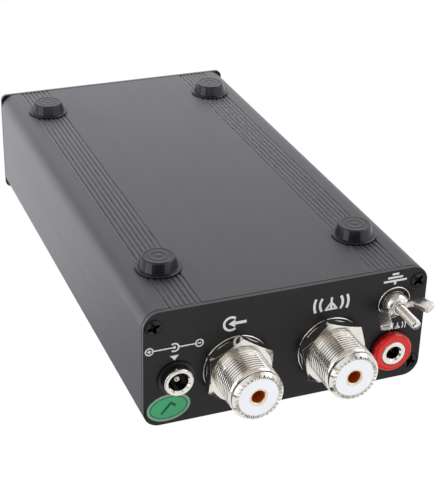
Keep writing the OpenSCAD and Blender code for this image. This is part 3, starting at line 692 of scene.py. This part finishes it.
def softened(outline, steps=6):
    """Corner points of (x, y, radius) as a smooth closed outline."""
    points = []
    for i, (x, y, radius) in enumerate(outline):
        corner = Vector((x, y))
        before = Vector(outline[i - 1][:2]) - corner
        after = Vector(outline[(i + 1) % len(outline)][:2]) - corner
        start = corner + before.normalized() * min(radius, before.length / 2)
        end = corner + after.normalized() * min(radius, after.length / 2)
        for k in range(steps + 1):
            s = k / steps
            points.append((1 - s) ** 2 * start + 2 * s * (1 - s) * corner + s ** 2 * end)
    return points


def wing_nut():
    """Cast wing nut: domed hub and wings melted into one rounded form."""
    hub = [plain_row(HUB_BORE_R, POST_WASHER_T), plain_row(HUB_R, POST_WASHER_T)]
    for angle in quarter(HUB_DOME_STEPS):
        dome_r = HUB_NECK_R + (HUB_R - HUB_NECK_R) * cos(angle)
        hub.append(plain_row(dome_r, POST_WASHER_T + HUB_SKIRT_H + HUB_DOME_H * sin(angle)))
    hub += [plain_row(HUB_NECK_R, POST_WASHER_T + HUB_H), plain_row(HUB_BORE_R, POST_WASHER_T + HUB_H)]
    bm = lathe(POST, hub, HUB_STEPS, True)
    outline = softened(WING_OUTLINE)
    middle = sum(outline, Vector((0, 0))) / len(outline)
    crown = WING_T / 2 + WING_CROWN
    layers = ((-crown, WING_CROWN_SHARE), (-WING_T / 2, 1), (WING_T / 2, 1), (crown, WING_CROWN_SHARE))
    for side in (WING_TURN, WING_TURN + pi):
        rings = []
        for across, share in layers:
            spots = []
            for point in outline:
                out, height = middle.lerp(point, share)
                u, v = turned(out, across, side)
                spots.append(bm.verts.new(rear_spot(POST, u, v, POST_WASHER_T + height)))
            rings.append(spots)
        bm.faces.new(rings[0])
        bm.faces.new(rings[-1])
        for low, high in zip(rings, rings[1:]):
            skin(bm, low, high)
    piece = finish_piece("cast_wing_nut", bm, CAST_NICKEL, "wing_nut")
    melt = piece.modifiers.new("melt", "REMESH")
    melt.mode = "VOXEL"
    melt.voxel_size = MELT_VOXEL * MM
    melt.use_smooth_shade = True
    ease = piece.modifiers.new("ease", "SMOOTH")
    ease.factor = MELT_EASE
    ease.iterations = MELT_PASSES
    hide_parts("wing_nut")


# Radius that the spring washers cover and clearances in the washers' bores, in millimetres
LOCK_WASHER_R = 9.45
SHELL_CLEAR = 0.1
STUD_CLEAR = 0.2
washer("in", "in_washer", IN, SHELL_R + SHELL_CLEAR, LOCK_WASHER_R)
washer("ant", "ant_washer", ANT, SHELL_R + SHELL_CLEAR, LOCK_WASHER_R)
washer("ground", "ground_washer", POST, STUD_R + STUD_CLEAR, HUB_R, "ground_washer")
ground_stud()
wing_nut()


# Sizes of the panel screws, in millimetres, the steps round them and their crease angle in degrees
SCREW_R = 1.25
SCREW_L = 9.0
SCREW_HEAD_R = 2.75
SCREW_FACE_R = 2.45
SCREW_HEAD_H = 1.3
SCREW_BEVEL = 0.08
SCREW_CROWN = 0.12
SCREW_CROWN_W = 0.4
SCREW_STEPS = 48
SCREW_CREASE = 30
CROSS_L = 1.9
CROSS_W = 0.38
CROSS_HUB = 0.62
CROSS_DEPTH = 1.2
# Size of the recess's floor as a share of its mouth
CROSS_TAPER = 0.7
# Turn of the first screw's recess and from each screw to the next, in degrees
CROSS_TURN = 20
CROSS_TURN_STEP = 25


def panel_screw(bm, spot, place, turn):
    """Countersunk screw with a slightly crowned head and a tapered cross recess."""
    rows = [
        (SCREW_R, -SCREW_L),
        (SCREW_R, -SCREW_HEAD_H),
        (SCREW_FACE_R, -SCREW_CROWN),
        (SCREW_FACE_R - SCREW_BEVEL, 0.0),
        (SCREW_FACE_R - SCREW_CROWN_W, SCREW_CROWN),
    ]
    angles = [2 * pi * i / SCREW_STEPS for i in range(SCREW_STEPS)]
    rings = []
    for radius, height in rows:
        spots = [spot(place, radius * cos(a), radius * sin(a), height) for a in angles]
        rings.append([bm.verts.new(s) for s in spots])
    bm.faces.new(rings[0])
    arm = ((CROSS_HUB, CROSS_HUB), (CROSS_W, CROSS_L), (-CROSS_W, CROSS_L))
    cross = [turned(u, v, turn + i * pi / 2) for i in range(4) for u, v in arm]
    top = [bm.verts.new(spot(place, u, v, SCREW_CROWN)) for u, v in cross]
    tapered = [(u * CROSS_TAPER, v * CROSS_TAPER) for u, v in cross]
    floor = [bm.verts.new(spot(place, u, v, -CROSS_DEPTH)) for u, v in tapered]
    bm.faces.new(floor)
    for low, high in list(zip(rings, rings[1:])) + [(floor, top)]:
        skin(bm, low, high)
    edges = []
    for loop in (rings[-1], top):
        edges += [bm.edges.get((a, b)) for a, b in zip(loop, loop[1:] + loop[:1])]
    bmesh.ops.triangle_fill(bm, use_beauty=True, edges=edges)


def panel_screws(name, node, spot):
    """The four screws of one panel, each with its recess turned its own way."""
    low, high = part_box(node)
    half_x = high.x / MM - SCREW_HEAD_R
    half_z = (high.z - low.z) / 2 / MM - SCREW_HEAD_R
    bm = bmesh.new()
    for i, (x, z) in enumerate(((-1, -1), (1, -1), (1, 1), (-1, 1))):
        place = Vector((x * half_x, 0, MID_Z + z * half_z))
        panel_screw(bm, spot, place, radians(CROSS_TURN + CROSS_TURN_STEP * i))
    piece = finish_piece(name, bm, SLOT_MATERIALS["screw_black"], crease=SCREW_CREASE)
    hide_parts(node)


panel_screws("rear_screw_heads", "rear_panel_screws", rear_spot)
panel_screws("front_screw_heads", "front_panel_screws", front_spot)


# Thickness of the print and the step between patches that cross, in millimetres
FILM_T = 0.03
FILM_STEP = 0.002


class Print:
    """Flat shapes on the rear panel, drawn as read from behind (u right, v up, millimetres)."""

    def __init__(self, x, z, scale=1.0, turn=0.0, film=FILM_T):
        self.place = Vector((x, 0, z))
        self.scale = scale
        self.turn = turn
        self.film = film
        self.bm = bmesh.new()
        self.layers = 0

    def ring(self, outline, height):
        """Points of an outline at one height over the panel."""
        spots = []
        for point in outline:
            u, v = turned(*point, self.turn)
            spot = rear_spot(self.place, u * self.scale, v * self.scale, height)
            spots.append(self.bm.verts.new(spot))
        return spots

    def fill(self, outline):
        """A closed patch; each patch is a hair higher than the last, so that crossings stay clean."""
        self.layers += 1
        low = self.ring(outline, 0.0)
        high = self.ring(outline, self.film + FILM_STEP * self.layers)
        self.bm.faces.new(low)
        self.bm.faces.new(high)
        skin(self.bm, low, high)

    def stroke(self, path, width):
        """A line of even width along a path."""
        left = []
        right = []
        for i, (u, v) in enumerate(path):
            u0, v0 = path[max(i - 1, 0)]
            u1, v1 = path[min(i + 1, len(path) - 1)]
            heading = atan2(v1 - v0, u1 - u0)
            du = -sin(heading) * width / 2
            dv = cos(heading) * width / 2
            left.append((u + du, v + dv))
            right.append((u - du, v - dv))
        self.fill(left + right[::-1])

    def arc(self, u, v, radius, start, end, width):
        """A curved line; the angles are in degrees."""
        self.stroke(curve(u, v, radius, radius, start, end), width)

    def circle(self, u, v, radius, width):
        """A round line, drawn as two halves."""
        self.arc(u, v, radius, 0, 180, width)
        self.arc(u, v, radius, 180, 360, width)

    def done(self, name, material=INK):
        """Hand the patches over as one piece."""
        finish_piece(name, self.bm, material)


def curve(u, v, radius_u, radius_v, start, end, steps=24):
    """Points of an elliptic arc between two angles in degrees."""
    angles = [radians(start + (end - start) * i / steps) for i in range(steps + 1)]
    return [(u + radius_u * cos(a), v + radius_v * sin(a)) for a in angles]


def oval(radius_u, radius_v, count):
    """Points of a whole ellipse, each given once."""
    return curve(0, 0, radius_u, radius_v, 0, 360 - 360 / count, count - 1)


def aerial(art):
    """Aerial with waves on both sides, about 12 mm wide at full scale."""
    mast_w = 0.75
    fan_w = 0.65
    wave_w = 0.8
    art.stroke([(0, -2.1), (0, 2.0)], mast_w)
    art.stroke([(-2.0, 1.8), (2.0, 1.8)], fan_w)
    art.stroke([(-1.75, 1.8), (0, -0.5)], fan_w)
    art.stroke([(1.75, 1.8), (0, -0.5)], fan_w)
    for side in (0, 180):
        for radius, spread in ((3.6, 36), (5.4, 25)):
            art.arc(0, 0, radius, side - spread, side + spread, wave_w)


# Places of the marks and the sticker as (x, z), in millimetres, and the scale of the smaller marks
INPUT_MARK = (IN.x - 0.4, MID_Z - 10.9)
AERIAL_MARK = (ANT.x, MID_Z - 11.5)
WIRE_MARK = (WIRE.x + 2.2, MID_Z + 0.4)
WIRE_MARK_SCALE = 0.5
EARTH_MARK = (POST.x, MID_Z - 15.8)
EARTH_MARK_SCALE = 0.9
POLARITY_MARK = (JACK.x - 0.43, MID_Z - 6.6)
STICKER = (JACK.x - 2.1, MID_Z + 13.1)


def input_mark():
    """Arrow into an open ring."""
    art = Print(*INPUT_MARK)
    shaft_w = 0.95
    ring_w = 0.75
    art.stroke([(-3.4, 0), (0.2, 0)], shaft_w)
    art.fill([(0.0, 1.3), (2.1, 0), (0.0, -1.3)])
    art.arc(1.3, 0, 2.1, -130, 130, ring_w)
    art.done("mark_input")


def aerial_marks():
    """One aerial at the antenna socket and a smaller one at the wire socket."""
    art = Print(*AERIAL_MARK)
    aerial(art)
    art.done("mark_aerial")
    art = Print(*WIRE_MARK, WIRE_MARK_SCALE)
    aerial(art)
    art.done("mark_wire_aerial")


def earth_mark():
    """Standard earth sign: a stem over three bars."""
    art = Print(*EARTH_MARK, EARTH_MARK_SCALE)
    stem_w = 0.8
    bar_w = 0.75
    art.stroke([(0, 1.9), (0, 0.5)], stem_w)
    for v, half in ((0.5, 4.2), (-0.75, 2.7), (-2.0, 1.2)):
        art.stroke([(-half, v), (half, v)], bar_w)
    art.done("mark_earth")


def polarity_mark():
    """Standard direct-current mark, positive at the pin, with a pointer to the power socket."""
    art = Print(*POLARITY_MARK)
    end = 7.4
    ring_r = 1.1
    sign = 0.6
    line_w = 0.42
    cup_w = 0.5
    dot_r = 0.45
    for u in (-end, end):
        art.circle(u, 0, ring_r, line_w)
        art.stroke([(u - sign, 0), (u + sign, 0)], line_w)
    art.stroke([(end, -sign), (end, sign)], line_w)
    art.arc(0, 0, 1.25, 50, 310, cup_w)
    art.stroke([(ring_r - end, 0), (-1.2, 0)], line_w)
    art.stroke([(0, 0), (end - ring_r, 0)], line_w)
    art.fill(oval(dot_r, dot_r, 24))
    art.fill([(-1.35, 2.6), (1.35, 2.6), (0, 4.2)])
    art.done("mark_polarity")


STICKER_TURN = radians(6)
# Half axes of the sticker's layers and their heights over the screws' crowns, in millimetres
RIM_AXES = (6.6, 4.5)
FACE_AXES = (5.75, 3.65)
LINE_AXES = (5.6, 3.5)
RIM_T = 0.03
FACE_T = 0.045
LINE_T = 0.05


def sticker():
    """Green oval seal with a lighter border, a thin line inside it and a plain tick."""
    line_w = 0.3
    tick_w = 0.8
    rim = Print(*STICKER, turn=STICKER_TURN, film=SCREW_CROWN + RIM_T)
    rim.fill(oval(*RIM_AXES, 48))
    rim.done("sticker_border", STICKER_RIM)
    face = Print(*STICKER, turn=STICKER_TURN, film=SCREW_CROWN + FACE_T)
    face.fill(oval(*FACE_AXES, 48))
    face.done("sticker_face", STICKER_FACE)
    line = Print(*STICKER, turn=STICKER_TURN, film=SCREW_CROWN + LINE_T)
    for start in (0, 180):
        line.stroke(curve(0, 0, *LINE_AXES, start, start + 180), line_w)
    line.stroke([(-2.2, 0.0), (-0.7, -1.5)], tick_w)
    line.stroke([(-1.0, -1.5), (2.4, 1.7)], tick_w)
    line.done("sticker_print", STICKER_PRINT)


input_mark()
aerial_marks()
earth_mark()
polarity_mark()
sticker()


# Half width of the floor and the distances between which it fades into the background, in metres
FLOOR_HALF = 0.8
FLOOR_FADE = (0.15, 0.45)


def make_floor():
    """White floor that fades out, seen from above only since the camera looks from below."""
    mesh = bpy.data.meshes.new("floor")
    corners = [(x * FLOOR_HALF, y * FLOOR_HALF, 0) for x, y in ((-1, -1), (1, -1), (1, 1), (-1, 1))]
    mesh.from_pydata(corners, [], [(0, 1, 2, 3)])
    floor = bpy.data.objects.new("floor", mesh)
    scene.collection.objects.link(floor)
    m = Mat("floor_white")
    grain = m.noise(30.0)
    m.tone(grain, (0.90, 0.90, 0.90), (0.94, 0.94, 0.94))
    m.rough(grain, 0.85, 0.95)
    side = m.new("ShaderNodeNewGeometry")
    away = m.new("ShaderNodeVectorMath")
    away.operation = "LENGTH"
    m.link(m.coord, away.inputs[0])
    hidden = m.new("ShaderNodeMath")
    hidden.operation = "MAXIMUM"
    m.link(side.outputs["Backfacing"], hidden.inputs[0])
    m.link(m.between(away.outputs["Value"], *FLOOR_FADE), hidden.inputs[1])
    clear = m.new("ShaderNodeBsdfTransparent")
    mix = m.new("ShaderNodeMixShader")
    m.link(hidden.outputs["Value"], mix.inputs["Fac"])
    m.link(m.bsdf.outputs["BSDF"], mix.inputs[1])
    m.link(clear.outputs["BSDF"], mix.inputs[2])
    m.link(mix.outputs["Shader"], m.tree.nodes["Material Output"].inputs["Surface"])
    mesh.materials.append(m.mat)
    floor.visible_shadow = False
    floor.visible_diffuse = False
    floor.visible_glossy = False
    floor.visible_transmission = False


def make_card(name, colour, corners):
    """Card that only shiny surfaces see, as in a studio, so that metal has something to mirror."""
    mesh = bpy.data.meshes.new(name)
    mesh.from_pydata(corners, [], [(0, 1, 2, 3)])
    card = bpy.data.objects.new(name, mesh)
    scene.collection.objects.link(card)
    m = Mat(name)
    grain = m.noise(8.0)
    m.tone(grain, *shades(colour, 0.2))
    m.rough(grain, 0.85, 0.95)
    mesh.materials.append(m.mat)
    card.visible_camera = False
    card.visible_diffuse = False
    card.visible_transmission = False
    card.visible_shadow = False


# Strength of the world's light on the object
AMBIENT = 0.15


def make_world():
    """Even pale light, with a white background for the eye, for metal and for glass."""
    world = bpy.data.worlds.new("world")
    scene.world = world
    world.use_nodes = True
    tree = world.node_tree
    ambient = tree.nodes["Background"]
    ambient.inputs["Color"].default_value = (1, 1, 1, 1)
    ambient.inputs["Strength"].default_value = AMBIENT
    white = tree.nodes.new("ShaderNodeBackground")
    white.inputs["Color"].default_value = (1, 1, 1, 1)
    white.inputs["Strength"].default_value = 1.0
    path = tree.nodes.new("ShaderNodeLightPath")
    seen = path.outputs["Is Camera Ray"]
    for ray in ("Is Glossy Ray", "Is Transmission Ray"):
        either = tree.nodes.new("ShaderNodeMath")
        either.operation = "MAXIMUM"
        tree.links.new(seen, either.inputs[0])
        tree.links.new(path.outputs[ray], either.inputs[1])
        seen = either.outputs[0]
    mix = tree.nodes.new("ShaderNodeMixShader")
    tree.links.new(seen, mix.inputs["Fac"])
    tree.links.new(ambient.outputs[0], mix.inputs[1])
    tree.links.new(white.outputs[0], mix.inputs[2])
    tree.links.new(mix.outputs[0], tree.nodes["World Output"].inputs["Surface"])


def make_lamp(name, place, power, size, mirrored):
    """Square soft lamp aimed at the object; only a mirrored one shows in shiny surfaces."""
    data = bpy.data.lights.new(name, "AREA")
    data.shape = "SQUARE"
    data.size = size
    data.energy = power
    lamp = bpy.data.objects.new(name, data)
    lamp.location = place
    aim = Vector((0, 0, MID_Z * MM)) - lamp.location
    lamp.rotation_mode = "QUATERNION"
    lamp.rotation_quaternion = aim.to_track_quat("-Z", "Y")
    lamp.visible_camera = False
    lamp.visible_glossy = mirrored
    scene.collection.objects.link(lamp)


make_floor()
make_world()

# Cards as (name, colour, corners in metres)
DARK = (0.025, 0.022, 0.020)
TAUPE = (0.44, 0.39, 0.355)
BROWN = (0.45, 0.38, 0.33)
CARDS = [
    ("card_over", BROWN, [
        (-0.5, 0.5, -0.6), (0.3, 0.5, -0.6), (0.5, -0.2, -0.6), (-0.4, -0.2, -0.6),
    ]),
    ("card_rear", TAUPE, [
        (-0.32, 0.8, -0.3), (0.15, 0.8, -0.3), (0.15, 0.8, -0.85), (-0.32, 0.8, -0.85),
    ]),
    ("card_top", DARK, [
        (-0.45, 0.1, 0.7), (0.1, 0.1, 0.7), (0.1, 0.5, 0.7), (-0.45, 0.5, 0.7),
    ]),
    ("card_above", DARK, [
        (-0.9, -0.45, 0.6), (0.1, -0.45, 0.6), (0.1, -0.9, 0.6), (-0.9, -0.9, 0.6),
    ]),
    ("card_right", DARK, [
        (0.1, 0.05, 0.5), (0.9, 0.05, 0.5), (0.9, 0.5, 0.5), (0.1, 0.5, 0.5),
    ]),
    ("card_edge", DARK, [
        (-0.8, -0.9, -0.2), (-0.3, -0.9, -0.2), (-0.3, -0.9, -0.55), (-0.8, -0.9, -0.55),
    ]),
    ("card_low", DARK, [
        (-0.7, 0.85, 0.2), (-0.05, 0.85, 0.2), (-0.05, 0.85, 0.8), (-0.7, 0.85, 0.8),
    ]),
    ("card_back", DARK, [
        (-0.7, 0.85, -0.15), (0.25, 0.85, -0.15), (0.25, 0.85, 0.2), (-0.7, 0.85, 0.2),
    ]),
    ("card_side", DARK, [
        (-0.95, 0.15, -0.3), (-0.75, 0.85, -0.3), (-0.75, 0.85, 0.3), (-0.95, 0.15, 0.3),
    ]),
]
for card in CARDS:
    make_card(*card)

# Lamps as (name, place in metres, power in watts, width in metres, whether shiny surfaces mirror it)
LAMPS = [
    ("key_below", (0.05, -0.24, -0.20), 1.5, 0.25, False),
    ("fill_left", (-0.35, -0.35, 0.05), 5.5, 0.3, False),
    ("key_above", (0.15, -0.25, 0.95), 7.0, 0.7, False),
    ("fill_rear", (0.05, 0.75, 0.12), 3.9, 0.5, False),
    ("fill_front", (0.55, -0.70, 0.30), 2.0, 0.5, False),
    ("soft_left", (-0.85, 0.30, -0.10), 1.8, 0.6, True),
    ("soft_right", (0.60, 0.15, -0.50), 1.4, 0.5, True),
]
for lamp in LAMPS:
    make_lamp(*lamp)
